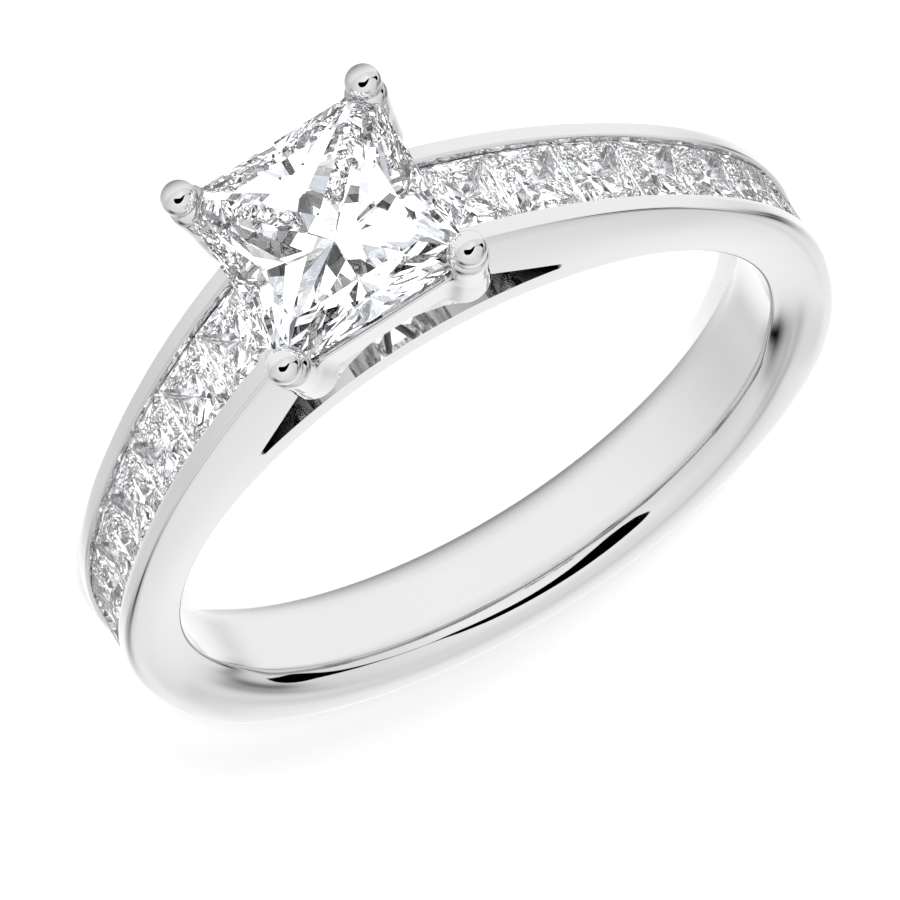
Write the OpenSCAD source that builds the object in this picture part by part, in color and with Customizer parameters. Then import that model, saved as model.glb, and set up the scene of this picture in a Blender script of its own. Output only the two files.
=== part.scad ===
// Solitaire engagement ring: a square princess-cut stone in a raised four-claw head, on a band whose
// open cathedral shoulders each hold a channel of smaller princess-cut stones.
// It lies on its side, on the two lower claws and the palm of the band, with the head towards -Y.
// The origin is the centre of the finger hole. All sizes are in millimetres.

/* [Finger hole] */
// Diameter of the finger hole
bore_d = 16.5; // [15:0.1:19]

/* [Band] */
// Thickness of the band at the palm
palm_t = 1.67; // [1.5:0.01:1.9]
// Extra thickness of the band below the shoulders
cheek_t = 0.18; // [0:0.02:0.24]
// Angle from the head at which the band is thickest
cheek_at = 115; // [110:1:120]
// Width of the band at the palm
palm_w = 2.82; // [2.7:0.02:3]
// Squareness of the palm's section, 2 for an ellipse
palm_power = 3.5; // [3:0.1:4]
// Width of the flat that touches the finger, at the head
inner_w_head = 2.8; // [2.6:0.05:3]
// Width of the flat that touches the finger, at the palm
inner_w_palm = 1.5; // [1.2:0.05:1.7]
// Bevel between that flat and the side of the band
inner_bevel = 0.12; // [0.08:0.01:0.16]

/* [Shoulders] */
// Thickness from the finger hole to the top of the rails, on the round part
rail_t = 1.58; // [1.54:0.02:1.7]
// Radius of the long arc that rises from the band to the head
rise_r = 20; // [19:0.5:22]
// Angle from the head at which that arc leaves the round part
rise_end = 67; // [64:1:70]
// Width over both rails beside the head
rail_w_head = 3; // [2.9:0.05:3.2]
// Width over both rails on the round part
rail_w = 2.7; // [2.65:0.05:2.8]
// Bevel along the outer edge of the rails, beside the head
rail_bevel = 0.08; // [0.04:0.02:0.12]
// Bevel along the outer edge of the rails, where the channel ends
rail_bevel_end = 0.24; // [0.08:0.02:0.26]
// Height of the wire that closes the band under the head
wire_t = 0.75; // [0.6:0.05:0.9]
// Distance from the centre line to the pointed end of the side openings
tip_x = 4.3; // [4:0.1:4.6]
// Height of that pointed end above the centre of the finger hole
tip_y = 8.1; // [8:0.05:8.2]
// Slope of the underside of the shoulders
underside_slope = 49; // [45:1:52]

/* [Channel stones] */
// Stones in each shoulder
channel_n = 7; // [1:1:7]
// Side of one square stone
small_side = 2.06; // [1.9:0.02:2.1]
// Gap between two stones
small_gap = 0.03; // [0.02:0.01:0.06]
// Direction in which the first stone faces, from the head
first_facing = 39.9; // [39.8:0.1:41]
// Height of a small stone's crown
small_crown = 0.22; // [0.18:0.02:0.24]
// Height of a small stone's pavilion
small_pavilion = 0.9; // [0.8:0.02:0.92]
// Depth of a small stone's table below the rails
small_sunk = 0.12; // [0.1:0.01:0.14]
// Clear width between the rails beside the head
lip_w_head = 2.04; // [1.9:0.02:2.1]
// Clear width between the rails at the far end of the channel
lip_w_end = 1.5; // [1.5:0.02:1.9]

/* [Head] */
// Side of the square centre stone
stone_side = 5.2; // [5:0.05:5.3]
// Height of the middle of its girdle above the centre of the finger hole
girdle_y = 13.8; // [13.6:0.05:14]
// Height of its crown
stone_crown = 0.52; // [0.4:0.02:0.6]
// Height of its pavilion
stone_pavilion = 3; // [2.8:0.05:3.1]
// Distance between the tips of two neighbouring claws, centre to centre
claw_pitch = 5.14; // [5.05:0.01:5.2]
// Height of the claw tips above the centre of the finger hole
claw_y = 14.12; // [14.05:0.01:14.2]
// Distance between the feet of two neighbouring claws, centre to centre
foot_pitch = 4.26; // [4.2:0.02:4.3]
// Height of the feet above the centre of the finger hole
foot_y = 12.08; // [12:0.02:12.1]
// Width over the gallery rails, at their underside
gallery_w = 4.84; // [4.7:0.02:4.9]
// Width of the open space between the feet of the claws
basket_w = 3.9; // [3.8:0.02:4]
// Height of the top of the gallery rail
gallery_top = 13.25; // [13.1:0.05:13.3]
// Height of the underside of the gallery rail, in the middle of a side
gallery_low = 12.22; // [12.1:0.02:12.3]

/* [Hidden] */
small_names = [for (side = ["left", "right"], i = [1:channel_n]) str(side, "_stone_", i)];
// Sides of a full circle
fine = 96;
bore_r = bore_d / 2;
// Clearance between a stone and the metal
seat_gap = 0.03;
// The inside of the swept band is left this much too small, and the finger hole is cut afterwards
bore_stock = 0.2;
// Height of the girdle of a small stone and of the centre stone, and how far their corners are cut back
girdle_t = 0.06;
stone_girdle_t = 0.15;
small_corner = 0.04;
stone_corner = 0.2;
// Angle from the head at which the channel starts and ends
channel_from = 10.9;
channel_to = 95;
// Between these angles the section changes from flat-topped to round
round_from = 96;
round_to = 122;
// Between these angles the flat on the finger changes from its width at the head to that at the palm
taper_from = 20;
taper_to = 150;
// Between these angles the width over the rails changes, and up to lips_narrow the clear width between them
rails_wide = 10;
rails_narrow = 50;
lips_narrow = 90;
// From this angle to the end of the channel the bevel grows
bevel_from = 50;
rail_r = bore_r + rail_t;
// How far round the band the extra thickness spreads, in degrees
cheek_spread = 25;
wire_r = bore_r + wire_t;
// Centre of the long arc of the shoulder
arc_x = -(rise_r - rail_r) * sin(rise_end);
arc_y = -(rise_r - rail_r) * cos(rise_end);

// 0 below a, 1 above b, and a smooth change between
function ease(a, b, t) = let (s = max(0, min(1, (t - a) / (b - a)))) s * s * (3 - 2 * s);
function mix(a, b, s) = a + (b - a) * s;

// Outline of the shoulder seen along the finger, at angle t from the head
function along_arc(t) = arc_x * sin(t) + arc_y * cos(t);
function rise_at(t) =
    along_arc(t) + sqrt(pow(rise_r, 2) - pow(arc_x, 2) - pow(arc_y, 2) + pow(along_arc(t), 2));
function top_r(t) = abs(t) > rise_end ? rail_r : rise_at(abs(t));
// Direction in which the outline faces, and the depth along a spoke for one unit of depth below it
function facing(t) = abs(t) > rise_end ? abs(t) : asin((top_r(t) * sin(abs(t)) - arc_x) / rise_r);
function spoke(t) = 1 / cos(facing(t) - abs(t));

function flat_half(t) = mix(inner_w_head, inner_w_palm, ease(taper_from, taper_to, abs(t))) / 2;
function rail_half(t) = mix(rail_w_head, rail_w, ease(rails_wide, rails_narrow, abs(t))) / 2;
function lip_half(t) = let (s = (abs(t) - rails_wide) / (lips_narrow - rails_wide))
    mix(lip_w_head, lip_w_end, max(0, min(1, s))) / 2;

// Half of the domed section at angle t, from the finger hole round the front to the crown, as
// [radius, across]. Its inner half is a little deep, so that the finger hole cuts it at the flat.
function dome_t(t) = palm_t + cheek_t * exp(-pow((abs(t) - cheek_at) / cheek_spread, 2));
function power(v, p) = v <= 0 ? 0 : pow(v, p);
inner_share = power(1 - pow(inner_w_palm / palm_w, palm_power), 1 / palm_power);
dome_turns = [168, 156, 142, 120, 96, 74, 58, 47, 39, 32, 26, 20, 14, 7, 0];
function dome_point(depth, f) = [
    bore_r + depth / 2 + (f > 90 ? -1 / inner_share : 1) * depth / 2 * power(abs(cos(f)), 2 / palm_power),
    palm_w / 2 * power(sin(f), 2 / palm_power)];
function dome_half(t) = [for (f = dome_turns) dome_point(dome_t(t), f)];

// Half of the shoulder's section in the same order: side, rail, lip and the seat of the stones.
// Each row of the seat is a depth below the top of the rails and a distance from the middle of the channel.
seat_half = small_side / 2 + seat_gap;
belt = small_sunk + small_crown + girdle_t;
lip_depth = 0.04;
keel = 0.05;
function seat_rows(t) = [
    [lip_depth, lip_half(t)],
    [small_sunk + 0.1, seat_half],
    [belt + seat_gap, seat_half],
    [belt + 0.42 * small_pavilion, 0.76 * seat_half],
    [belt + 0.75 * small_pavilion, 0.44 * seat_half],
    [belt + small_pavilion + 2 * seat_gap, keel],
    [belt + small_pavilion + 2 * seat_gap, 0]];
function seat(t) = [for (row = seat_rows(t)) [top_r(t) - row[0] * spoke(t), row[1]]];
function flat_top(t) = [for (s = [0.9, 0.75, 0.6, 0.45, 0.3, 0.15, 0]) [top_r(t), s * lip_half(t)]];
function in_channel(t) = abs(t) > channel_from && abs(t) < channel_to;
function bevel(t) = mix(rail_bevel, rail_bevel_end, ease(bevel_from, channel_to, abs(t)));
function side(t) =
    let (r0 = bore_r + inner_bevel, z0 = flat_half(t), r1 = top_r(t) - bevel(t), z1 = rail_half(t))
    concat([[bore_r - inner_bevel, z0 - 2 * inner_bevel]],
        [for (s = [0:0.2:1]) [mix(r0, r1, s), mix(z0, z1, s)]],
        [[top_r(t), z1 - bevel(t)]]);
function shoulder_half(t) = concat(side(t), in_channel(t) ? seat(t) : flat_top(t));
function blend(t) = let (s = ease(round_from, round_to, abs(t)), a = shoulder_half(t), b = dome_half(t))
    [for (i = [0:len(b) - 1]) mix(a[i], b[i], s)];
// A whole section, closed through the stock inside the finger hole
function section(t) = let (h = blend(t), n = len(h))
    concat([[bore_r - bore_stock, 0]], h, [for (i = [n - 2:-1:0]) [h[i][0], -h[i][1]]]);

// Angles of the sections, closer together where the channel starts and ends
half_turn = concat([6, channel_from, channel_from + 0.1], [for (t = [15:4:91]) t],
    [channel_to - 0.1, channel_to, 99, 103, 107], [for (t = [111:5:176]) t]);
turns = concat([0], half_turn, [180], [for (i = [len(half_turn) - 1:-1:0]) -half_turn[i]]);
function place(t, p) = [p[0] * sin(t), p[0] * cos(t), p[1]];

// The band with its shoulders and channels, before the finger hole and the openings are cut
module swept_band() {
    rows = [for (t = turns) section(t)];
    n = len(rows);
    m = len(rows[0]);
    polyhedron([for (i = [0:n - 1], p = rows[i]) place(turns[i], p)],
        [for (i = [0:n - 1], j = [0:m - 1], half = [0, 1])
            let (next = ((i + 1) % n) * m, after = (j + 1) % m)
            half == 0 ? [i * m + j, i * m + after, next + after] : [i * m + j, next + after, next + j]],
        convexity = 10);
}

// Space between the two shoulders, above the wire that closes the band
module head_space() {
    reach_x = basket_w / 2;
    reach_y = tip_y + (tip_x - reach_x) * tan(underside_slope);
    above_stone = girdle_y + 2.2;
    linear_extrude(8, center = true) difference() {
        polygon([[tip_x, tip_y], [reach_x, reach_y], [reach_x, above_stone], [-reach_x, above_stone],
            [-reach_x, reach_y], [-tip_x, tip_y], [0, bore_r - 3.25]]);
        circle(wire_r, $fn = fine);
    }
}

// A princess-cut stone with its girdle about z = 0 and its table up. grow makes it larger all round.
table_share = 0.7;
module princess(side, crown, pavilion, girdle, corner, grow = 0) {
    h = side / 2 + grow;
    k = corner;
    up = girdle / 2 + grow;
    table_z = girdle / 2 + crown + grow;
    t = h * table_share;
    w = k * table_share;
    low = girdle / 2 + pavilion + grow;
    // Groups of four points: three at the girdle's top, three at its bottom, two at the table, the stars
    // and the two ribs of the pavilion, with the culet last
    function ring4(x, y, z) =
        [for (a = [0, 90, 180, 270]) [x * cos(a) - y * sin(a), x * sin(a) + y * cos(a), z]];
    pts = concat(
        ring4(h, -h + k, up), ring4(h, h - k, up), ring4(h, 0, up),
        ring4(h, -h + k, -up), ring4(h, h - k, -up), ring4(h, 0, -up),
        ring4(t, -t + w, table_z), ring4(t, t - w, table_z),
        ring4(0.86 * h, 0, mix(up, table_z, 0.55)),
        ring4(0.72 * h, 0, -mix(up, low, 0.4)), ring4(0.4 * h, 0, -mix(up, low, 0.7)),
        [[0, 0, -low]]);
    culet = len(pts) - 1;
    function q(group, i) = group * 4 + i % 4;
    sides = [for (i = [0:3]) each [
        // girdle
        [q(0, i), q(5, i), q(3, i)], [q(0, i), q(2, i), q(5, i)], [q(2, i), q(4, i), q(5, i)],
        [q(2, i), q(1, i), q(4, i)], [q(1, i), q(3, i + 1), q(4, i)], [q(1, i), q(0, i + 1), q(3, i + 1)],
        // crown
        [q(0, i), q(8, i), q(2, i)], [q(2, i), q(8, i), q(1, i)], [q(6, i), q(8, i), q(0, i)],
        [q(1, i), q(8, i), q(7, i)], [q(6, i), q(7, i), q(8, i)], [q(7, i), q(0, i + 1), q(1, i)],
        [q(7, i), q(6, i + 1), q(0, i + 1)],
        // pavilion
        [q(3, i), q(5, i), q(9, i)], [q(5, i), q(4, i), q(9, i)], [q(3, i), q(9, i), q(10, i)],
        [q(9, i), q(4, i), q(10, i)], [q(3, i), q(10, i), culet], [q(10, i), q(4, i), culet],
        [q(4, i), q(3, i + 1), culet]]];
    table = [[for (i = [3:-1:0]) each [q(7, i), q(6, i)]]];
    polyhedron(pts, concat(sides, table));
}

module centre_cut(grow = 0) {
    translate([0, girdle_y, 0]) rotate([-90, 0, 0])
        princess(stone_side, stone_crown, stone_pavilion, stone_girdle_t, stone_corner, grow);
}

// A claw is turned about a slanted line, from the centre of its ball tip to that of its foot
claw_rows = [ // share of the way, radius
    [0, 0.455], [0.18, 0.53], [0.4, 0.54], [0.6, 0.56], [0.8, 0.61], [1, 0.65]];
claw_tip = [claw_pitch / 2, claw_y, claw_pitch / 2];
claw_way = [foot_pitch / 2, foot_y, foot_pitch / 2] - claw_tip;

// One claw with its ball tip and its foot
module claw() {
    tip_r = claw_rows[0][1];
    foot_r = claw_rows[len(claw_rows) - 1][1];
    long = norm(claw_way);
    translate(claw_tip) rotate([0, acos(claw_way[2] / long), atan2(claw_way[1], claw_way[0])])
        rotate_extrude($fn = fine) polygon(concat(
            [for (a = [0:15:75]) [tip_r * sin(a), -tip_r * cos(a)]],
            [for (row = claw_rows) [row[1], row[0] * long]],
            [for (a = [75:-15:0]) [foot_r * sin(a), long + foot_r * cos(a)]]));
}

// The plate under one side of the stone, with its arch. reach is how far out it goes.
arch_r = 1.9;
module gallery_side(reach) {
    half = gallery_w / 2 - 0.25;
    low = gallery_low - 0.67;
    top = gallery_top - 0.2;
    translate([0, 0, basket_w / 2]) linear_extrude(reach - basket_w / 2) difference() {
        translate([-half, low]) square([2 * half, top - low]);
        translate([0, gallery_low - arch_r]) circle(arch_r, $fn = fine);
    }
}

// The rails round the stone, wider at the top, and the four plates, of which two stand back from the shoulders
module gallery() {
    top = stone_side / 2 - 0.04;
    low = gallery_w / 2;
    stand_back = 0.11;
    function square4(s, y) = [[-s, y, -s], [s, y, -s], [s, y, s], [-s, y, s]];
    polyhedron(concat(square4(low, gallery_low), square4(top, gallery_top)),
        [[0, 3, 2, 1], [4, 5, 6, 7], [0, 1, 5, 4], [1, 2, 6, 5], [2, 3, 7, 6], [3, 0, 4, 7]]);
    for (a = [0, 180]) rotate([0, a, 0]) gallery_side(low);
    for (a = [90, 270]) rotate([0, a, 0]) gallery_side(low - stand_back);
}

// The gallery and the claws, open in the middle under the stone
module head() {
    tunnel = 1.35;
    tunnel_from = 9;
    tunnel_to = 13;
    difference() {
        union() {
            gallery();
            for (a = [0:90:270]) rotate([0, a, 0]) claw();
        }
        centre_cut(seat_gap);
        translate([-tunnel, tunnel_from, -tunnel]) cube([2 * tunnel, tunnel_to - tunnel_from, 2 * tunnel]);
    }
}

// Tilt of the finger hole as the ring rests on two claws and on the side of the palm
function rest_angle(row, p) =
    let (c = claw_tip + row[0] * claw_way, d = [c[1] + p[0], c[2] - p[1]])
    atan2(d[1], d[0]) + asin(row[1] / norm(d));
rest_tilt = max([for (row = claw_rows) min([for (p = dome_half(180)) rest_angle(row, p)])]);

// From the frame in which the head points to +Y and the finger along Z, to that of the lying ring
module lying() {
    rotate([-rest_tilt, 0, 0]) rotate([0, 0, 180]) children();
}

module ring_mount() {
    color("gainsboro") lying() union() {
        difference() {
            swept_band();
            head_space();
            cylinder(12, r = bore_r, center = true, $fn = 2 * fine);
        }
        head();
    }
}

module centre_stone() {
    color("aliceblue") lying() centre_cut();
}

// Direction in which channel stone i faces, the stones lying edge to edge along the outline
small_step = small_side + small_gap;
belt_mid = small_sunk + small_crown + girdle_t / 2;
function small_facing(i) = let (f = first_facing + (i - 1) * small_step / (rise_r - belt_mid) * 180 / PI)
    f <= rise_end ? f : rise_end + (f - rise_end) * (rise_r - belt_mid) / (rail_r - belt_mid);
function outline_at(f) =
    f <= rise_end ? [arc_x + rise_r * sin(f), arc_y + rise_r * cos(f)] : rail_r * [sin(f), cos(f)];

// Channel stone i counted from the head, on the side of +X or -X before the ring is laid down
module channel_stone(i, side) {
    f = small_facing(i);
    p = outline_at(f) - belt_mid * [sin(f), cos(f)];
    color("azure") lying() translate([side * p[0], p[1], 0]) rotate([0, 0, -side * f]) rotate([-90, 0, 0])
        princess(small_side, small_crown, small_pavilion, girdle_t, small_corner);
}

ring_mount();
centre_stone();
for (i = [1:channel_n]) {
    channel_stone(i, 1);
    channel_stone(i, -1);
}
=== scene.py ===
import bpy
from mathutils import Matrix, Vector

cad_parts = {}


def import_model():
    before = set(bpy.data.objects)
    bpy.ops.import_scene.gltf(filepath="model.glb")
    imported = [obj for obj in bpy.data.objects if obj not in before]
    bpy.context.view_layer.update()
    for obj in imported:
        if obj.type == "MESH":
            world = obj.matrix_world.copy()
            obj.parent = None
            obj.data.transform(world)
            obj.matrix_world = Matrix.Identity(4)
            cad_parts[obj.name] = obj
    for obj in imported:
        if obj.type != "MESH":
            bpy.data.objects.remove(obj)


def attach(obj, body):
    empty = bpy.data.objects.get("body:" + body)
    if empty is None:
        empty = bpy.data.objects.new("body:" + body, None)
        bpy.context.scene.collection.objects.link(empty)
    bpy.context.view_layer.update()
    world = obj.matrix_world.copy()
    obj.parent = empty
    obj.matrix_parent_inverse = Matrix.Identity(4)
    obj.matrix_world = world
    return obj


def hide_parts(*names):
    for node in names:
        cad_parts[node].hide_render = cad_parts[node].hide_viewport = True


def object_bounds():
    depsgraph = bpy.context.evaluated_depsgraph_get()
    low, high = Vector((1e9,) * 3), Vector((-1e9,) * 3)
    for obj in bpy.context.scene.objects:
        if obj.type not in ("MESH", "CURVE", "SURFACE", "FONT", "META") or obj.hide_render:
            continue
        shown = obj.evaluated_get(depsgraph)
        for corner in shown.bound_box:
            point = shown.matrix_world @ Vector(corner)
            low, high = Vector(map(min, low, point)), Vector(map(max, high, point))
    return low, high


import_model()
cad_box = [list(v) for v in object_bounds()]

import math

import bmesh
import bpy
import numpy as np
from mathutils import Matrix, Vector

# A solitaire engagement ring with stones in its shoulders, lying on its side in a white light tent.
# The ring is made in the ring frame: the head points to +Y, the finger lies along Z, and the centre of the
# finger hole is the origin. Its lengths are in millimetres, and angles are in degrees. Its sizes have the
# names of those in the part's source. The stage is in metres, in the frame of the lying part.
scene = bpy.context.scene

# The band: finger hole, thickness and width at the palm and the squareness of its section, the extra
# thickness of the cheeks below the shoulders, and the width of the flat that touches the finger
BORE_R = 8.25
PALM_T, PALM_W, PALM_POWER = 1.67, 2.82, 3.5
CHEEK_T, CHEEK_AT, CHEEK_SPREAD = 0.18, 115, 25
INNER_W_HEAD, INNER_W_PALM = 2.8, 1.5
TAPER_FROM, TAPER_TO = 20, 150

# The shoulders: thickness up to the rails, the long arc that rises to the head, the width over the rails and
# between them, and the angles where these change, where the channel lies, and where the section turns from
# flat-topped to round
RAIL_T, RISE_R, RISE_END = 1.58, 20.0, 67
RAIL_R = BORE_R + RAIL_T
RAIL_W_HEAD, RAIL_W = 3.0, 2.7
LIP_W_HEAD, LIP_W_END = 2.04, 1.5
RAILS_WIDE, RAILS_NARROW, LIPS_NARROW = 10, 50, 90
CHANNEL_FROM, CHANNEL_TO = 10.9, 95
ROUND_FROM, ROUND_TO = 95, 122

# The openings under the head: height of the wire below them, their pointed end, the slope of the shoulder's
# underside, and where the lower side of the pointed end meets the wire
WIRE_T, TIP_X, TIP_Y, UNDERSIDE_SLOPE = 0.75, 4.3, 8.1, 49
WIRE_END = (4.145, 7.99)

# The channel stones
CHANNEL_N, SMALL_SIDE, SMALL_GAP, FIRST_FACING = 7, 2.06, 0.03, 39.9
SMALL_CROWN, SMALL_PAVILION, SMALL_GIRDLE, SMALL_CORNER = 0.22, 0.9, 0.06, 0.04
# Depth of their tables and of the middle of their girdles below the rails
SMALL_SUNK = 0.12
BELT_MID = SMALL_SUNK + SMALL_CROWN + SMALL_GIRDLE / 2

# The centre stone and the head. A claw has a radius for each share of the way from its tip to its foot.
STONE_SIDE, GIRDLE_Y = 5.2, 13.8
STONE_CROWN, STONE_PAVILION, STONE_GIRDLE, STONE_CORNER = 0.52, 3.0, 0.15, 0.2
CLAW_PITCH, CLAW_Y, FOOT_PITCH, FOOT_Y = 5.14, 14.12, 4.26, 12.08
CLAW_ROWS = ((0, 0.455), (0.18, 0.53), (0.4, 0.54), (0.6, 0.56), (0.8, 0.61), (1, 0.65))
GALLERY_W, BASKET_W, GALLERY_TOP, GALLERY_LOW = 4.84, 3.9, 13.25, 12.22
SEAT_GAP = 0.03

# From the ring frame to the frame of the lying part
REST_TILT = math.radians(4.04577)
TO_PART = Matrix.Scale(0.001, 4) @ Matrix.Rotation(-REST_TILT, 4, "X") @ Matrix.Rotation(math.pi, 4, "Z")

# The camera, worked out from the photograph's perspective: its place in the ring frame, its right, down and
# forward directions there, its lens and sensor in millimetres, and in metres how near and how far it sees
CAMERA_AT = Vector((2.75, 364.849, 163.946))
CAMERA_RIGHT = Vector((0.845689, -0.224470, 0.484172))
CAMERA_DOWN = Vector((-0.533616, -0.342171, 0.773416))
CAMERA_FORWARD = Vector((-0.007939, -0.912432, -0.409151))
LENS, SENSOR_W = 658.4, 36
CLIP_NEAR, CLIP_FAR = 0.01, 10


def rad(degrees):
    return math.radians(degrees)


def mix(a, b, s):
    return a + (b - a) * s


def share_between(a, b, t):
    """0 below a, 1 above b, and an even change between."""
    return np.clip((t - a) / (b - a), 0, 1)


def ease(a, b, t):
    """0 below a, 1 above b, and a smooth change between."""
    s = share_between(a, b, t)
    return s * s * (3 - 2 * s)


# Meshes

# Points closer together than this become one
WELD = 1e-5


def new_object(name, mesh, material=None):
    obj = bpy.data.objects.new(name, mesh)
    scene.collection.objects.link(obj)
    if material:
        mesh.materials.append(material)
    return obj


def mesh_of(name, points, faces):
    mesh = bpy.data.meshes.new(name)
    mesh.from_pydata([tuple(map(float, p)) for p in points], [], faces)
    mesh.validate()
    bm = bmesh.new()
    bm.from_mesh(mesh)
    bmesh.ops.remove_doubles(bm, verts=bm.verts, dist=WELD)
    bmesh.ops.recalc_face_normals(bm, faces=bm.faces)
    bm.to_mesh(mesh)
    bm.free()
    return mesh


def skin(rows, closed):
    """Points and faces over rows of points. The last row joins the first, or else both ends get a cap."""
    n, m = len(rows), len(rows[0])
    faces = []
    for i in range(n if closed else n - 1):
        here, there = i * m, (i + 1) % n * m
        for j in range(m):
            after = (j + 1) % m
            faces.append((here + j, here + after, there + after, there + j))
    if not closed:
        faces += [tuple(range(m))[::-1], tuple((n - 1) * m + j for j in range(m))]
    return [p for row in rows for p in row], faces


def prism(name, outline, half):
    """A solid with this outline in X and Y, half of its thickness on each side."""
    rows = [[(x, y, z) for x, y in outline] for z in (-half, half)]
    return new_object(name, mesh_of(name, *skin(rows, closed=False)))


def cut_out(obj, tool):
    modifier = obj.modifiers.new("cut", "BOOLEAN")
    modifier.operation, modifier.object, modifier.solver = "DIFFERENCE", tool, "EXACT"
    whole = obj.data
    mesh = bpy.data.meshes.new_from_object(obj.evaluated_get(bpy.context.evaluated_depsgraph_get()))
    obj.modifiers.clear()
    obj.data = mesh
    bpy.data.meshes.remove(whole)
    bpy.data.objects.remove(tool)


# The outline of the band, at angle t from the head

ARC_X = -(RISE_R - RAIL_R) * math.sin(rad(RISE_END))
ARC_Y = -(RISE_R - RAIL_R) * math.cos(rad(RISE_END))


def top_r(t):
    """Distance from the centre to the top of the rails."""
    t = abs(t)
    if t > RISE_END:
        return RAIL_R
    along = ARC_X * math.sin(rad(t)) + ARC_Y * math.cos(rad(t))
    return along + math.sqrt(RISE_R ** 2 - ARC_X ** 2 - ARC_Y ** 2 + along ** 2)


def facing(t):
    """Direction in which the outline faces."""
    t = abs(t)
    return t if t > RISE_END else math.degrees(math.asin((top_r(t) * math.sin(rad(t)) - ARC_X) / RISE_R))


def spoke(t):
    """Depth along a spoke for one unit of depth below the outline."""
    return 1 / math.cos(rad(facing(t) - abs(t)))


def flat_half(t):
    return mix(INNER_W_HEAD, INNER_W_PALM, ease(TAPER_FROM, TAPER_TO, abs(t))) / 2


def rail_half(t):
    return mix(RAIL_W_HEAD, RAIL_W, ease(RAILS_WIDE, RAILS_NARROW, abs(t))) / 2


def lip_half(t):
    return mix(LIP_W_HEAD, LIP_W_END, share_between(RAILS_WIDE, LIPS_NARROW, abs(t))) / 2


# The sections of the band. Half of one is a row of points (radius, across), from the finger hole round the
# side to the middle of the outside.

# Rounding of the edge at the finger hole, and of the rails' outer edge, beside the head and at the far end
INNER_ROUND = 0.13
RAIL_ROUND = (0.07, 0.42)
RAIL_ROUND_FROM = 50
# How far the sides of the shoulders bulge
BULGE = 0.05
# Rounding of the lip over the stones, depths of the lip's underside and of the seat's top below the stones'
# tables, the bend of the seat in shares of the pavilion's depth and of the seat's width, and half the width
# of the channel's floor
LIP_ROUND = 0.03
LIP_LOW, SEAT_TOP = 0.08, 0.1
BEND_DOWN, BEND_ACROSS = 0.55, 0.65
KEEL = 0.04
# Number of steps along the flat, round an edge, along the side, along the rail's top and into the channel
FLAT_STEPS, EDGE_STEPS, SIDE_STEPS, TOP_STEPS, SEAT_STEPS = 3, 6, 12, 3, 8
# The same parts of the domed section, from its edge at the finger hole on: the angles round it where they
# start and end, and their steps
DOME_PARTS = ((161, 150, EDGE_STEPS), (150, 50, SIDE_STEPS), (50, 38, EDGE_STEPS), (38, 28, TOP_STEPS),
              (28, 0, SEAT_STEPS))


def quarter(first):
    """Angles round a rounded edge, from step first to its end."""
    return [rad(90 * i / EDGE_STEPS) for i in range(first, EDGE_STEPS + 1)]


def channel_line(t, edge):
    """From the rounded edge of the rail over its top and lip, and down to the middle of the channel."""
    top, lip, k = top_r(t), lip_half(t), spoke(t)
    seat = SMALL_SIDE / 2 + SEAT_GAP
    belt = SMALL_SUNK + SMALL_CROWN + SMALL_GIRDLE
    bottom = belt + SMALL_PAVILION + 2 * SEAT_GAP
    line = [(top, mix(edge, lip + LIP_ROUND, i / TOP_STEPS)) for i in range(1, TOP_STEPS + 1)]
    line += [(top - LIP_ROUND / 3, lip + LIP_ROUND / 3), (top - LIP_ROUND, lip)]
    rows = ((SMALL_SUNK + LIP_LOW, lip), (SMALL_SUNK + SEAT_TOP, seat), (belt + SEAT_GAP, seat),
            (belt + BEND_DOWN * SMALL_PAVILION, BEND_ACROSS * seat), (bottom, KEEL), (bottom, 0))
    return line + [(top - depth * k, across) for depth, across in rows]


def shoulder_half(t):
    top, flat, rail = top_r(t), flat_half(t), rail_half(t)
    inner, outer = INNER_ROUND, mix(*RAIL_ROUND, ease(RAIL_ROUND_FROM, CHANNEL_TO, abs(t)))
    line = [(BORE_R, (flat - inner) * i / FLAT_STEPS) for i in range(FLAT_STEPS)]
    line += [(BORE_R + inner * (1 - math.cos(a)), flat - inner * (1 - math.sin(a))) for a in quarter(0)]
    for s in (i / SIDE_STEPS for i in range(1, SIDE_STEPS + 1)):
        line.append((mix(BORE_R + inner, top - outer, s), mix(flat, rail, s) + BULGE * math.sin(math.pi * s)))
    line += [(top - outer * (1 - math.sin(a)), rail - outer * (1 - math.cos(a))) for a in quarter(1)]
    if CHANNEL_FROM < abs(t) < CHANNEL_TO:
        return np.array(line + channel_line(t, rail - outer))
    steps = TOP_STEPS + SEAT_STEPS
    return np.array(line + [(top, mix(rail - outer, 0, i / steps)) for i in range(1, steps + 1)])


def dome_half(t):
    """The palm's, with as many points as the shoulder's. Its inner half is cut flat by the finger hole."""
    half_t = (PALM_T + CHEEK_T * math.exp(-((abs(t) - CHEEK_AT) / CHEEK_SPREAD) ** 2)) / 2
    inner_share = (1 - (INNER_W_PALM / PALM_W) ** PALM_POWER) ** (1 / PALM_POWER)

    def point(f):
        reach = half_t * (-1 / inner_share if f > 90 else 1)
        radius = BORE_R + half_t + reach * abs(math.cos(rad(f))) ** (2 / PALM_POWER)
        return max(radius, BORE_R), PALM_W / 2 * max(math.sin(rad(f)), 0) ** (2 / PALM_POWER)
    turns = [DOME_PARTS[0][0]] + [mix(a, b, i / n) for a, b, n in DOME_PARTS for i in range(1, n + 1)]
    line = [point(f) for f in turns]
    return np.array([(BORE_R, line[0][1] * i / FLAT_STEPS) for i in range(FLAT_STEPS)] + line)


def section(t):
    s = ease(ROUND_FROM, ROUND_TO, abs(t))
    half = shoulder_half(t) if s == 0 else dome_half(t) if s == 1 else mix(shoulder_half(t), dome_half(t), s)
    whole = np.concatenate([half, half[-2:0:-1] * (1, -1)])
    return [(r * math.sin(rad(t)), r * math.cos(rad(t)), z) for r, z in whole]


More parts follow.
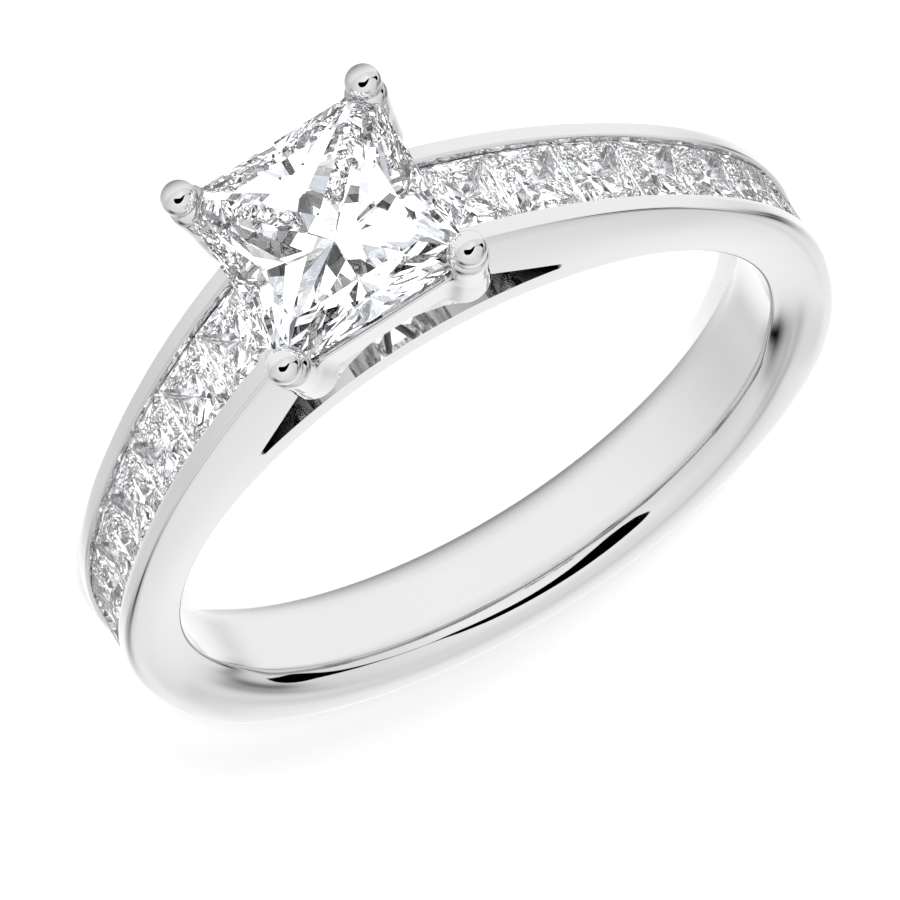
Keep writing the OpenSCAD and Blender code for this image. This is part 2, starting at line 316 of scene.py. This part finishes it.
# Angles of the first sections beside the head, in the channel and beyond it, and the steps between the next
HEAD_FIRST, CHANNEL_FIRST, PALM_FIRST = 2, 12, 97
SHOULDER_STEP, PALM_STEP = 1.5, 2
# How short the ends of the channel are, and how far before its end the last section in it may lie
CHANNEL_EDGE, CHANNEL_LAST = 0.05, 0.5
# Edges sharper than this stay crisp
CRISP_FROM = 30
# The space cut out for the head: its top above the middle of the stone's girdle, half its width, and its
# points along the wire
SPACE_UP, SPACE_HALF, SPACE_POINTS = 2.2, 4, 41


def section_turns():
    """Angles of the sections, from the head all round."""
    half = [*np.arange(HEAD_FIRST, CHANNEL_FROM, SHOULDER_STEP), CHANNEL_FROM, CHANNEL_FROM + CHANNEL_EDGE,
            *np.arange(CHANNEL_FIRST, CHANNEL_TO - CHANNEL_LAST, SHOULDER_STEP),
            CHANNEL_TO - CHANNEL_EDGE, CHANNEL_TO, *np.arange(PALM_FIRST, 180, PALM_STEP)]
    return [0, *half, 180, *(-t for t in reversed(half))]


def head_space():
    """Space between the two shoulders, above the wire that closes the band."""
    wire_r = BORE_R + WIRE_T
    reach_x = BASKET_W / 2
    reach_y = TIP_Y + (TIP_X - reach_x) * math.tan(rad(UNDERSIDE_SLOPE))
    above_stone = GIRDLE_Y + SPACE_UP
    end = math.atan2(*WIRE_END)
    outline = [(TIP_X, TIP_Y), (reach_x, reach_y), (reach_x, above_stone)]
    outline += [(-x, y) for x, y in reversed(outline)]
    outline += [(wire_r * math.sin(a), wire_r * math.cos(a)) for a in np.linspace(-end, end, SPACE_POINTS)]
    return prism("opening", outline, SPACE_HALF)


def band_metal(gold):
    """The band with its rails and channels, cut open on both sides under the head."""
    rows = [section(t) for t in section_turns()]
    obj = new_object("band_metal", mesh_of("band_metal", *skin(rows, closed=True)))
    cut_out(obj, head_space())
    obj.data.shade_smooth()
    obj.data.set_sharp_from_angle(angle=rad(CRISP_FROM))
    obj.data.materials.clear()
    obj.data.materials.append(gold)
    return obj


# The cast head

CLAW_TIP = np.array((CLAW_PITCH / 2, CLAW_Y, CLAW_PITCH / 2))
CLAW_WAY = np.array((FOOT_PITCH / 2, FOOT_Y, FOOT_PITCH / 2)) - CLAW_TIP
# Radius of the ball tips, and the share of the way down at which the stem under them starts
BALL_R, STEM_FROM = 0.45, 0.24
# Half the width over the gallery's top
GALLERY_TOP_HALF = STONE_SIDE / 2 - 0.04
# The plates under the rails: the height of their foot, and where their arch starts and ends beside the middle
# of a side
PLATE_LOW, ARCH_FROM, ARCH_TO = 11.5, 0.3, 2.1
# The square hole under the stone: half its width, and its top
TUNNEL, TUNNEL_TO = 1.35, 13
# The seat of the stone: heights with half the width of the hole there, the slant of its walls, and its top
SEAT_ROWS = ((10.6, 0), (11.5, 0.9), (12.1, 1.5), (12.8, 2.02), (13.6, 2.52), (13.87, 2.54))
SEAT_SLANT = 0.75
SEAT_TO = GIRDLE_Y + 0.02
# Rounding between claws and rails, of the rails, and of other edges, from soft to crisp
FILLET, RAIL_EDGE, HOLE_EDGE, SEAT_EDGE, BALL_EDGE = 0.22, 0.12, 0.05, 0.03, 0.02
# The box round the head, and the size of its small quads
HEAD_REACH, HEAD_LOW, HEAD_HIGH = FOOT_PITCH / 2 + 1.2, 11.2, 14.8
HEAD_STEP = 0.045
# How often the points are brought closer to the surface, the distance over which its slope is taken, and the
# least square of the slope and length of a normal that are divided by
ROUNDS, NUDGE, LEAST_SLOPE, LEAST_LENGTH = 4, 1e-3, 0.2, 1e-6


def join(a, b, k):
    """Distance to two bodies run together with a fillet of about k."""
    h = np.clip(0.5 + 0.5 * (b - a) / k, 0, 1)
    return b + (a - b) * h - k * h * (1 - h)


def cut(a, b, k):
    """Distance to body a with b taken out, the edge rounded by about k."""
    return -join(-a, b, k)


def both(k, first, *others):
    """Distance to what lies in all the bodies, its edges rounded by about k."""
    for other in others:
        first = -join(-first, -other, k)
    return first


def head_distance(p):
    """How far each point of p lies outside the cast head: the gallery with its arches, and four claws."""
    x, y, z = np.abs(p[:, 0]), p[:, 1], np.abs(p[:, 2])
    wide, near = np.maximum(x, z), np.minimum(x, z)
    at = np.stack([x, y, z], 1) - CLAW_TIP
    share = np.clip(at @ CLAW_WAY / (CLAW_WAY @ CLAW_WAY), STEM_FROM, 1)
    stem = np.linalg.norm(at - share[:, None] * CLAW_WAY, axis=1) - np.interp(share, *zip(*CLAW_ROWS))
    ball = np.linalg.norm(at, axis=1) - BALL_R
    out = np.interp(y, (GALLERY_LOW, GALLERY_TOP), (GALLERY_W / 2, GALLERY_TOP_HALF))
    edge = mix(GALLERY_LOW, PLATE_LOW, ease(ARCH_FROM, ARCH_TO, near))
    gallery = both(RAIL_EDGE, wide - out, y - GALLERY_TOP, edge - y)
    gallery = cut(gallery, both(HOLE_EDGE, wide - BASKET_W / 2, y - GALLERY_LOW), HOLE_EDGE)
    metal = join(gallery, stem, FILLET)
    metal = cut(metal, both(HOLE_EDGE, wide - TUNNEL, y - TUNNEL_TO), HOLE_EDGE)
    seat = SEAT_SLANT * (wide - np.interp(y, *zip(*SEAT_ROWS)))
    metal = cut(metal, np.maximum(seat, y - SEAT_TO), SEAT_EDGE)
    return join(metal, ball, BALL_EDGE)


def slope(distance, p):
    """How fast the distance grows at each point of p, along X, Y and Z."""
    nudges = NUDGE * np.eye(3)
    return np.stack([(distance(p + n) - distance(p - n)) / (2 * NUDGE) for n in nudges], 1)


def net(distance, low, high, step):
    """A point in each cell of a grid that the surface crosses, and a quad round each edge that it crosses."""
    axes = [np.arange(a, b, step) for a, b in zip(low, high)]
    grid = np.stack(np.meshgrid(*axes, indexing="ij"), -1)
    shape = grid.shape[:3]
    d = distance(grid.reshape(-1, 3)).reshape(shape)
    cells, crossings, quads = [], [], []
    for axis in range(3):
        a, b = np.moveaxis(d, axis, 0)[:-1], np.moveaxis(d, axis, 0)[1:]
        hit = np.argwhere((a < 0) != (b < 0))
        va, vb = a[tuple(hit.T)], b[tuple(hit.T)]
        corner = np.insert(hit[:, 1:], axis, hit[:, 0], axis=1)
        crossing = corner.astype(float)
        crossing[:, axis] += va / (va - vb)
        u, v = [i for i in range(3) if i != axis]
        around = []
        for du, dv in ((0, 0), (1, 0), (1, 1), (0, 1)):
            cell = corner.copy()
            cell[:, u] -= du
            cell[:, v] -= dv
            around.append(np.ravel_multi_index(cell.T, shape))
            cells.append(around[-1])
            crossings.append(crossing)
        quad = np.stack(around, 1)
        turned = (va < 0) != (axis == 1)
        quads.append(np.where(turned[:, None], quad, quad[:, ::-1]))
    ids, cell_of = np.unique(np.concatenate(cells), return_inverse=True)
    crossings, count = np.concatenate(crossings), np.bincount(cell_of)
    points = np.stack([np.bincount(cell_of, crossings[:, i]) / count for i in range(3)], 1)
    return points * step + np.array(low), np.searchsorted(ids, np.concatenate(quads))


def contour(name, distance, low, high, step):
    """The surface where distance is 0, as a mesh of small quads with exact normals."""
    points, quads = net(distance, low, high, step)
    for _ in range(ROUNDS):
        g = slope(distance, points)
        move = distance(points)[:, None] * g / np.maximum((g * g).sum(1), LEAST_SLOPE)[:, None]
        points -= np.clip(move, -step / 2, step / 2)
    g = slope(distance, points)
    normals = g / np.maximum(np.linalg.norm(g, axis=1), LEAST_LENGTH)[:, None]
    mesh = bpy.data.meshes.new(name)
    mesh.from_pydata(points.tolist(), [], quads.tolist())
    mesh.validate()
    mesh.shade_smooth()
    mesh.normals_split_custom_set_from_vertices(normals.tolist())
    return mesh


def head_metal(gold):
    low, high = (-HEAD_REACH, HEAD_LOW, -HEAD_REACH), (HEAD_REACH, HEAD_HIGH, HEAD_REACH)
    return new_object("head_metal", contour("head_metal", head_distance, low, high, HEAD_STEP), gold)


# The stones

# The table, and the points of the star and corner facets, in shares of the half width and the crown's height
TABLE_SHARE = 0.7
STAR_OUT, STAR_UP = 0.87, 0.55
KITE_OUT, KITE_UP = 0.86, 0.5
# The ridge down the middle of each side of the pavilion, in shares of the half width and of the depth
CHEVRONS = ((0.84, 0.22), (0.66, 0.44), (0.48, 0.63), (0.26, 0.82))
SMALL_CHEVRONS = ((0.8, 0.27), (0.57, 0.525), (0.28, 0.8))
STONE_CUT = (STONE_SIDE, STONE_CROWN, STONE_PAVILION, STONE_GIRDLE, STONE_CORNER, CHEVRONS)
SMALL_CUT = (SMALL_SIDE, SMALL_CROWN, SMALL_PAVILION, SMALL_GIRDLE, SMALL_CORNER, SMALL_CHEVRONS)
TABLE_OUT = Matrix.Rotation(-math.pi / 2, 4, "X")


def princess_mesh(name, side, crown, pavilion, girdle, corner, chevrons):
    """A princess-cut stone: square table, crown with star and corner facets, and pavilion with chevrons."""
    h, up, low, table_z = side / 2, girdle / 2, girdle / 2 + pavilion, girdle / 2 + crown
    t, w = TABLE_SHARE * h, TABLE_SHARE * corner
    points, faces = [], []

    def four(x, y, z):
        """Adds a point for each of the four sides, and tells the index of that of side i."""
        first = len(points)
        points.extend([(x, y, z), (-y, x, z), (-x, -y, z), (y, -x, z)])
        return lambda i: first + i % 4
    a0, a1, a2 = four(h, -h + corner, up), four(h, h - corner, up), four(h, 0, up)
    b0, b1, b2 = four(h, -h + corner, -up), four(h, h - corner, -up), four(h, 0, -up)
    t0, t1 = four(t, -t + w, table_z), four(t, t - w, table_z)
    star = four(STAR_OUT * h, 0, mix(up, table_z, STAR_UP))
    kite = four(KITE_OUT * h, KITE_OUT * h, mix(up, table_z, KITE_UP))
    ribs = [four(x * h, 0, -mix(up, low, d)) for x, d in chevrons]
    culet = len(points)
    points.append((0, 0, -low))
    for i in range(4):
        j = i + 1
        faces += [(a0(i), b0(i), b2(i), a2(i)), (a2(i), b2(i), b1(i), a1(i)), (a1(i), b1(i), b0(j), a0(j)),
                  (a0(i), a2(i), star(i)), (a2(i), a1(i), star(i)), (t0(i), star(i), t1(i)),
                  (a1(i), kite(i), star(i)), (star(i), kite(i), t1(i)), (a1(i), a0(j), kite(i)),
                  (a0(j), star(j), kite(i)), (star(j), t0(j), kite(i)), (t1(i), kite(i), t0(j))]
        last = b2
        for rib in ribs:
            faces += [(b0(i), rib(i), last(i)), (last(i), rib(i), b1(i))]
            last = rib
        faces += [(b0(i), culet, last(i)), (last(i), culet, b1(i)), (b1(i), culet, b0(j))]
    faces.append(tuple(corner_of(i) for i in range(4) for corner_of in (t0, t1)))
    return mesh_of(name, points, faces)


def outline_at(f):
    """The point of the outline that faces in direction f."""
    x, y = math.sin(rad(f)), math.cos(rad(f))
    if f <= RISE_END:
        return Vector((ARC_X + RISE_R * x, ARC_Y + RISE_R * y, 0))
    return RAIL_R * Vector((x, y, 0))


def small_place(i, side):
    """Where channel stone i sits, counted from the head, on the side of +X or -X in the ring frame."""
    f = FIRST_FACING + math.degrees((i - 1) * (SMALL_SIDE + SMALL_GAP) / (RISE_R - BELT_MID))
    if f > RISE_END:
        f = RISE_END + (f - RISE_END) * (RISE_R - BELT_MID) / (RAIL_R - BELT_MID)
    x, y, _ = outline_at(f) - BELT_MID * Vector((math.sin(rad(f)), math.cos(rad(f)), 0))
    return Matrix.Translation((side * x, y, 0)) @ Matrix.Rotation(rad(-side * f), 4, "Z") @ TABLE_OUT


def stone(name, cut_sizes, place, look):
    obj = new_object(name, princess_mesh(name, *cut_sizes), look)
    obj.data.transform(place)
    return obj


# Looks

WHITE, BLUISH = (1, 1, 1), (0.87, 0.91, 1)
# How far away another surface shades a recess, in metres
RECESS = 0.0022


class Sums:
    """Makes the nodes of a node tree, most of them sums."""

    def __init__(self, tree):
        self.nodes, self.links = tree.nodes, tree.links

    def plug(self, value, socket):
        if isinstance(value, bpy.types.NodeSocket):
            self.links.new(value, socket)
        elif value is not None:
            socket.default_value = value

    def node(self, kind, *inputs, **settings):
        node = self.nodes.new(kind)
        for name, value in settings.items():
            setattr(node, name, value)
        for value, socket in zip(inputs, node.inputs):
            self.plug(value, socket)
        return node

    def math(self, operation, *inputs, clamp=False):
        return self.node("ShaderNodeMath", *inputs, operation=operation, use_clamp=clamp).outputs[0]

    def dot(self, a, b):
        return self.node("ShaderNodeVectorMath", a, b, operation="DOT_PRODUCT").outputs["Value"]

    def scaled(self, vector, factor):
        return self.node("ShaderNodeVectorMath", vector, None, None, factor, operation="SCALE").outputs[0]

    def span(self, value, *ends):
        """The value, brought from between the first two ends to between the last two."""
        return self.node("ShaderNodeMapRange", value, *ends).outputs[0]

    def noise(self, place, scale, detail):
        return self.node("ShaderNodeTexNoise", place, None, scale, detail).outputs["Fac"]

    def openness(self, samples):
        return self.node("ShaderNodeAmbientOcclusion", None, RECESS, samples=samples).outputs["AO"]

    def colour(self, share, a, b):
        node = self.node("ShaderNodeMix", share, data_type="RGBA")
        node.inputs["A"].default_value, node.inputs["B"].default_value = (*a, 1), (*b, 1)
        return node.outputs["Result"]

    def curve(self, value, points):
        """A smooth curve through points, all within 90 degrees of 0 in height."""
        low, high = points[0][0], points[-1][0]
        node = self.node("ShaderNodeFloatCurve")
        line = node.mapping.curves[0]
        shape = [((x - low) / (high - low), (y + 90) / 180) for x, y in points]
        line.points[0].location, line.points[1].location = shape[0], shape[-1]
        for at in shape[1:-1]:
            line.points.new(*at)
        node.mapping.update()
        share = self.math("DIVIDE", self.math("SUBTRACT", value, low), high - low, clamp=True)
        self.plug(share, node.inputs["Value"])
        return self.math("SUBTRACT", self.math("MULTIPLY", node.outputs[0], 180), 90)


# The metal: the two colours and roughnesses between which it varies in faint clouds
METAL_DARK, METAL_LIGHT = (0.775, 0.775, 0.785), (0.805, 0.803, 0.805)
METAL_ROUGH = (0.02, 0.06)
CLOUD_SCALE, CLOUD_DETAIL = 400, 4
# Painted shade in recesses: how open a place is where the metal is darkest and where it has its full colour,
# what is left of the colour in the darkest, and the least left for each surface of a stone through which it
# is seen
METAL_DEEP, METAL_OPEN, METAL_LEFT = 0.2, 0.6, 0.12
METAL_THROUGH_STONE = 0.7
# The stones: their index of refraction, the share of their outer reflection that is left, how open a place is
# where their painted shade is darkest and where they are clear, and what is left of their light in the
# darkest
DIAMOND_IOR = 2.417
OUTER_GLOSS = 0.35
STONE_DEEP, STONE_OPEN = 0.08, 0.35
CENTRE_LEFT, CHANNEL_LEFT = 0.25, 0.9


def new_material(name):
    material = bpy.data.materials.new(name)
    material.use_nodes = True
    return material, material.node_tree.nodes, Sums(material.node_tree)


def metal():
    """Polished white gold, faintly uneven, with painted shade darkening its colour in deep recesses."""
    material, nodes, sums = new_material("white_gold")
    shader = nodes["Principled BSDF"].inputs
    cloud = sums.noise(sums.node("ShaderNodeNewGeometry").outputs["Position"], CLOUD_SCALE, CLOUD_DETAIL)
    # Painted shade: the colour darkens where nearby surfaces close a place in, less on surfaces seen through
    # a stone
    painted_shade = sums.span(sums.openness(samples=6), METAL_DEEP, METAL_OPEN, METAL_LEFT, 1)
    stones = sums.node("ShaderNodeLightPath").outputs["Transmission Depth"]
    painted_shade = sums.math("MAXIMUM", painted_shade, sums.math("MULTIPLY", stones, METAL_THROUGH_STONE), clamp=True)
    sums.plug(sums.scaled(sums.colour(cloud, METAL_DARK, METAL_LIGHT), painted_shade), shader["Base Color"])
    sums.plug(sums.span(cloud, 0, 1, *METAL_ROUGH), shader["Roughness"])
    sums.plug(1, shader["Metallic"])
    return material


def diamond(name, left):
    """Clear cut stone with a weak outer reflection. In deep recesses, painted shade leaves it this share of
    its light.
    """
    material, nodes, sums = new_material(name)
    nodes.remove(nodes["Principled BSDF"])
    inside = sums.node("ShaderNodeNewGeometry").outputs["Backfacing"]
    fresnel = sums.node("ShaderNodeFresnel", DIAMOND_IOR).outputs[0]
    share = sums.math("MULTIPLY", fresnel, sums.math("MULTIPLY_ADD", inside, 1 - OUTER_GLOSS, OUTER_GLOSS))
    through = sums.node("ShaderNodeBsdfRefraction")
    # Painted shade: light seen through the stone from outside is darkened where nearby surfaces close it in
    painted_shade = sums.span(sums.openness(samples=3), STONE_DEEP, STONE_OPEN, left, 1)
    sums.plug(sums.math("MAXIMUM", painted_shade, inside), through.inputs["Color"])
    sums.plug(DIAMOND_IOR, through.inputs["IOR"])
    sums.plug(0, through.inputs["Roughness"])
    mirror = sums.node("ShaderNodeBsdfAnisotropic", (*WHITE, 1), 0)
    surface = sums.node("ShaderNodeMixShader", share, through.outputs[0], mirror.outputs[0])
    sums.plug(surface.outputs[0], nodes["Material Output"].inputs["Surface"])
    return material


# The stage, in metres

FLOOR_HALF = 1
FLOOR_GREY, FLOOR_GLOW = (0.15, 0.15, 0.15), 0.62


def floor(level):
    h = FLOOR_HALF
    mesh = bpy.data.meshes.new("floor")
    mesh.from_pydata([(-h, -h, level), (h, -h, level), (h, h, level), (-h, h, level)], [], [(0, 1, 2, 3)])
    material, nodes, sums = new_material("floor")
    shader = nodes["Principled BSDF"].inputs
    sums.plug((*FLOOR_GREY, 1), shader["Base Color"])
    sums.plug(1, shader["Roughness"])
    sums.plug(0, shader["Specular IOR Level"])
    sums.plug((*WHITE, 1), shader["Emission Color"])
    sums.plug(FLOOR_GLOW, shader["Emission Strength"])
    obj = new_object("floor", mesh, material)
    obj.visible_glossy = obj.visible_transmission = False


def camera():
    data = bpy.data.cameras.new("camera")
    data.lens, data.sensor_width = LENS, SENSOR_W
    data.clip_start, data.clip_end = CLIP_NEAR, CLIP_FAR
    obj = bpy.data.objects.new("camera", data)
    scene.collection.objects.link(obj)
    turn = Matrix((CAMERA_RIGHT, -CAMERA_DOWN, -CAMERA_FORWARD)).transposed().to_4x4()
    obj.matrix_world = Matrix.Translation(TO_PART @ CAMERA_AT) @ TO_PART.normalized() @ turn
    scene.camera = obj


# The light tent. A place on it is given by two angles as seen from the ring: to the right of the camera and
# above it. The dark gap lies round the camera and on to the right. It is given by the angle to the right and
# by those of its lower and upper edge, which cross at both ends, so that the gap closes there.
GAP = ((-32, -10, -14), (-27, -27, -5), (-18, -34, -3), (-8, -35, -3), (4, -33, -2), (12, -29, 1),
       (20, -20, 8), (27, -8, 14), (33, 5, 17), (38, 14.5, 17.5), (48, 18.5, 20), (58, 20.5, 22.3),
       (66, 19.5, 23.2), (75, 17, 24), (83, 13, 25.5), (90, 7, 27), (95, 6, 27), (99, 8, 26),
       (102, 12, 22), (106, 18, 14))
GAP_EDGE = 1.2
TENT_LIGHT = 0.88
# Soft light and shade on the tent: the two angles of its middle, how narrow it is, and how much it adds
LOBES = ((5, -15, 4, 0.22), (170, -25, 6, 0.2), (20, 30, 20, 0.15), (-75, -15, 8, -0.1),
         (95, -25, 8, -0.08), (-133, -57, 40, -0.5), (-153, -42, 40, -0.45), (101, -6, 50, -0.6),
         (-115, -10, 10, -0.28), (-126, -50, 60, -0.4), (106, -24, 60, -0.32), (-138, -24, 80, -0.4),
         (124, 4, 50, -0.8), (136, 20, 80, -0.8), (170, -72, 60, -0.3), (146, -58, 100, -0.3),
         (-148, -66, 60, -0.3), (138, -38, 120, -0.15), (130, -50, 60, -0.07))
# The light that the floor throws up: how low a direction is where it starts and where it is full, and its sum
BOUNCE_FROM, BOUNCE_FULL, BOUNCE = -0.22, -0.34, 0.19
# What is seen through the stones instead: bright cards with sharp edges, on folds of cloth that are bright,
# or dim and bluish. The camera's lens is dark, over this angle round its middle.
CARD_SCALE, CARD_DETAIL, CARD_FROM, CARD_TO, CARD_LIGHT = 3.2, 1, 0.4, 0.45, 1.22
FOLD_SCALE, FOLD_DETAIL, FOLD_FROM, FOLD_TO, FOLD_DIM, FOLD_BRIGHT = 7, 2, 0.42, 0.5, 0.62, 1.75
LENS_HALF = 15


def seen_at(right, up):
    """The direction, in the part's frame, of a place in the tent."""
    flat = math.cos(rad(up))
    x, y, z = flat * math.sin(rad(right)), math.sin(rad(up)), flat * math.cos(rad(right))
    spin = TO_PART.to_3x3().normalized()
    return (spin @ (x * CAMERA_RIGHT - y * CAMERA_DOWN - z * CAMERA_FORWARD)).normalized()


def tent_light(sums, way):
    """How bright the tent is in this direction: its light and shade, with the dark gap."""
    x, y, z = (sums.dot(way, seen_at(*angles)) for angles in ((90, 0), (0, 90), (0, 0)))
    right = sums.math("MULTIPLY", sums.math("ARCTAN2", x, z), 180 / math.pi)
    up = sums.math("MULTIPLY", sums.math("ARCSINE", y), 180 / math.pi)
    low = sums.curve(right, [(a, b) for a, b, _ in GAP])
    high = sums.curve(right, [(a, c) for a, _, c in GAP])
    inside = [sums.math("DIVIDE", sums.math("SUBTRACT", *ends), GAP_EDGE) for ends in ((up, low), (high, up))]
    gap = sums.math("MULTIPLY", *(sums.math("ADD", share, 0.5, clamp=True) for share in inside))
    light = TENT_LIGHT
    for lobe_right, lobe_up, narrow, adds in LOBES:
        near = sums.math("MAXIMUM", sums.dot(way, seen_at(lobe_right, lobe_up)), 0)
        light = sums.math("ADD", light, sums.math("MULTIPLY", sums.math("POWER", near, narrow), adds))
    light = sums.math("ADD", light, sums.span(sums.dot(way, (0, 0, 1)), BOUNCE_FROM, BOUNCE_FULL, 0, BOUNCE))
    return sums.math("MULTIPLY", light, sums.math("SUBTRACT", 1, gap))


def world():
    tent = bpy.data.worlds.new("light_tent")
    scene.world = tent
    tent.use_nodes = True
    sums = Sums(tent.node_tree)
    back = tent.node_tree.nodes["Background"].inputs
    way = sums.node("ShaderNodeTexCoord").outputs["Generated"]
    folds = sums.noise(way, FOLD_SCALE, FOLD_DETAIL)
    sparkle = sums.span(sums.noise(way, CARD_SCALE, CARD_DETAIL), CARD_FROM, CARD_TO, 0, CARD_LIGHT)
    sparkle = sums.math("MULTIPLY", sparkle, sums.span(folds, FOLD_FROM, FOLD_TO, FOLD_DIM, FOLD_BRIGHT))
    lens = sums.math("GREATER_THAN", sums.dot(way, seen_at(0, 0)), math.cos(rad(LENS_HALF)))
    sparkle = sums.math("MULTIPLY", sparkle, sums.math("SUBTRACT", 1, lens))
    from_stone = sums.node("ShaderNodeLightPath").outputs["Is Transmission Ray"]
    light = sums.node("ShaderNodeMix", from_stone, None, tent_light(sums, way), sparkle).outputs[0]
    sums.plug(light, back["Strength"])
    cold = sums.math("MULTIPLY", sums.span(folds, FOLD_TO, FOLD_FROM, 0, 1), from_stone)
    sums.plug(sums.colour(cold, WHITE, BLUISH), back["Color"])


SPOT_BLEND, SPOT_RADIUS = 0.25, 0.01


def lamp(kind, name, at, target, power):
    """A lamp turned to a point, with no mirror image of its own in the ring."""
    data = bpy.data.lights.new(name, kind)
    data.energy = power
    obj = bpy.data.objects.new(name, data)
    scene.collection.objects.link(obj)
    obj.location = at
    obj.rotation_euler = (Vector(at) - Vector(target)).to_track_quat("Z", "Y").to_euler()
    obj.visible_glossy = obj.visible_transmission = False
    return data


def spot(name, at, target, power, angle):
    data = lamp("SPOT", name, at, target, power)
    data.spot_size, data.spot_blend, data.shadow_soft_size = rad(angle), SPOT_BLEND, SPOT_RADIUS


def window(distance, up, turn, size, power):
    """A low round light, turned from the head's side, whose shadow falls behind the palm."""
    flat = distance * math.cos(rad(up))
    at = (-flat * math.sin(rad(turn)), -flat * math.cos(rad(turn)), distance * math.sin(rad(up)))
    data = lamp("AREA", "window", at, (0, 0, 0), power)
    data.shape, data.size = "DISK", size


def lamps():
    """The window, and two spots that keep the floor bright before the head."""
    window(distance=0.3, up=15, turn=14, size=0.12, power=13)
    spot("overhead", at=(0, -0.012, 0.1), target=(0, -0.012, 0), power=1.5, angle=26)
    spot("front", at=(0, -0.09, 0.045), target=(0, -0.014, -0.002), power=2.6, angle=15)


# The scene

# How often light may bounce, enough to leave the stones
BOUNCES = 32


def hand_over(obj, slot, *nodes):
    """Brings a finished piece to the frame of the lying part, where it takes the place of these nodes."""
    obj.data.transform(TO_PART)
    obj.data.update()
    if nodes:
        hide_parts(*nodes)
    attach(obj, "root")


def whole_ring():
    """All the pieces. The side of +X in the ring frame is that of -X in the part's frame, its left."""
    gold = metal()
    clear = diamond("centre_diamond", CENTRE_LEFT)
    small_clear = diamond("channel_diamond", CHANNEL_LEFT)
    hand_over(band_metal(gold), "white_gold", "ring_mount")
    hand_over(head_metal(gold), "white_gold")
    centre = stone("centre_stone_cut", STONE_CUT, Matrix.Translation((0, GIRDLE_Y, 0)) @ TABLE_OUT, clear)
    hand_over(centre, "centre_diamond", "centre_stone")
    for word, side in (("left", 1), ("right", -1)):
        for i in range(1, CHANNEL_N + 1):
            small = stone(f"{word}_cut_{i}", SMALL_CUT, small_place(i, side), small_clear)
            hand_over(small, "channel_diamond", f"{word}_stone_{i}")


camera()
whole_ring()
floor(cad_box[0][2])
world()
lamps()
scene.cycles.max_bounces = scene.cycles.transmission_bounces = scene.cycles.glossy_bounces = BOUNCES
scene.view_settings.view_transform = "Standard"
